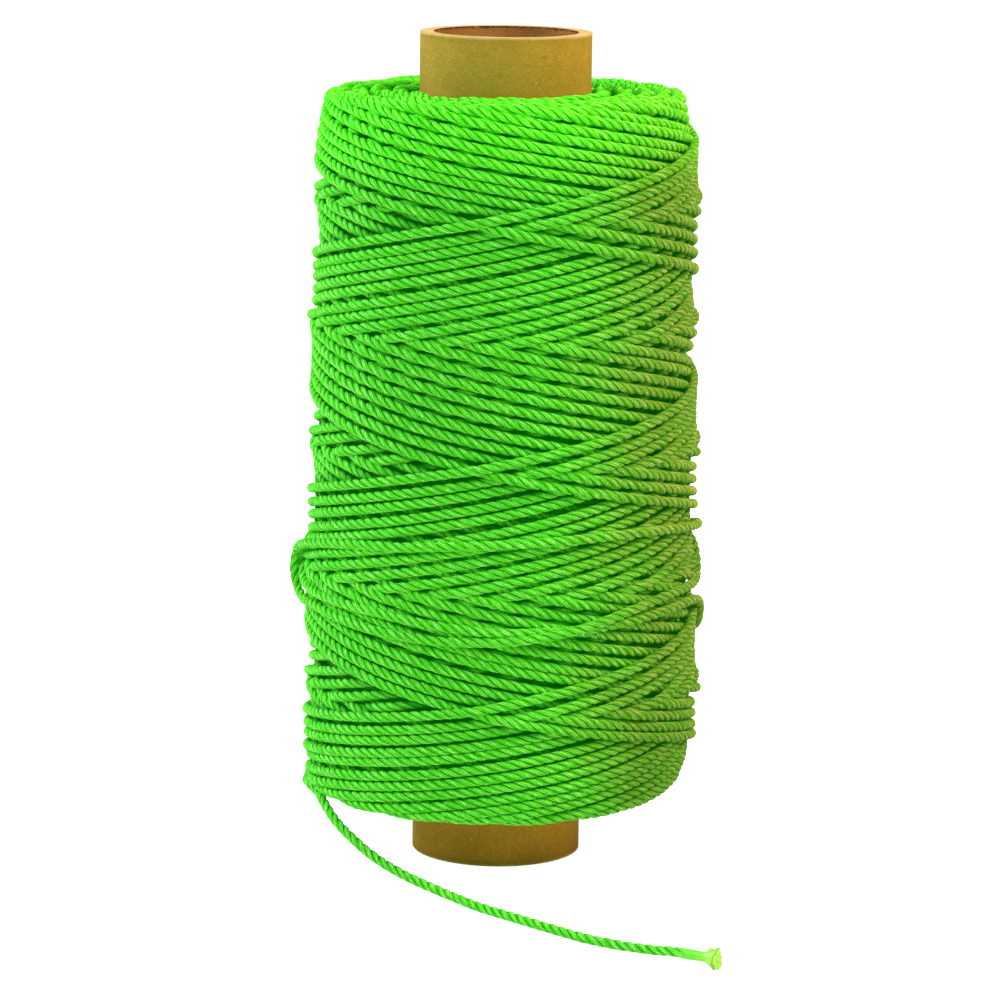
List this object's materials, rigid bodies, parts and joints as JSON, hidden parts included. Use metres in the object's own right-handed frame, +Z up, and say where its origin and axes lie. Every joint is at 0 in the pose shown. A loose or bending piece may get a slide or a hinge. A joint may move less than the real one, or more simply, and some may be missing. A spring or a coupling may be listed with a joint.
{
  "type": "fishing line spool",
  "caption": "Twisted fishing line cross-wound on a paperboard core that stands out at both ends, with the free end of the line laid out in front and its tip fused.",
  "frame": {"origin": "centre of the core's lower end, on the axis of its bore, on the surface the spool stands on", "axes": "+Z up along the core's axis; -Y is the front, towards which the free end of the line runs; +X is to the right seen from the front"},
  "size_m": [0.0568, 0.0876, 0.1143],
  "materials": {
    "core_paper": "matte kraft paper",
    "core_board": "matte grey-tan board, seen only as the cut rim",
    "line": "satin fluorescent green twisted nylon",
    "fused_line": "melted nylon"
  },
  "bodies": {
    "root": {"core_liner_ply": "core_paper", "core_inner_board_ply": "core_board", "core_outer_board_ply": "core_board", "core_face_ply": "core_paper", "line_pack": "line", "outer_wraps": "line", "line_tail": "line", "fused_tip": "fused_line"}
  },
  "joints": []
}
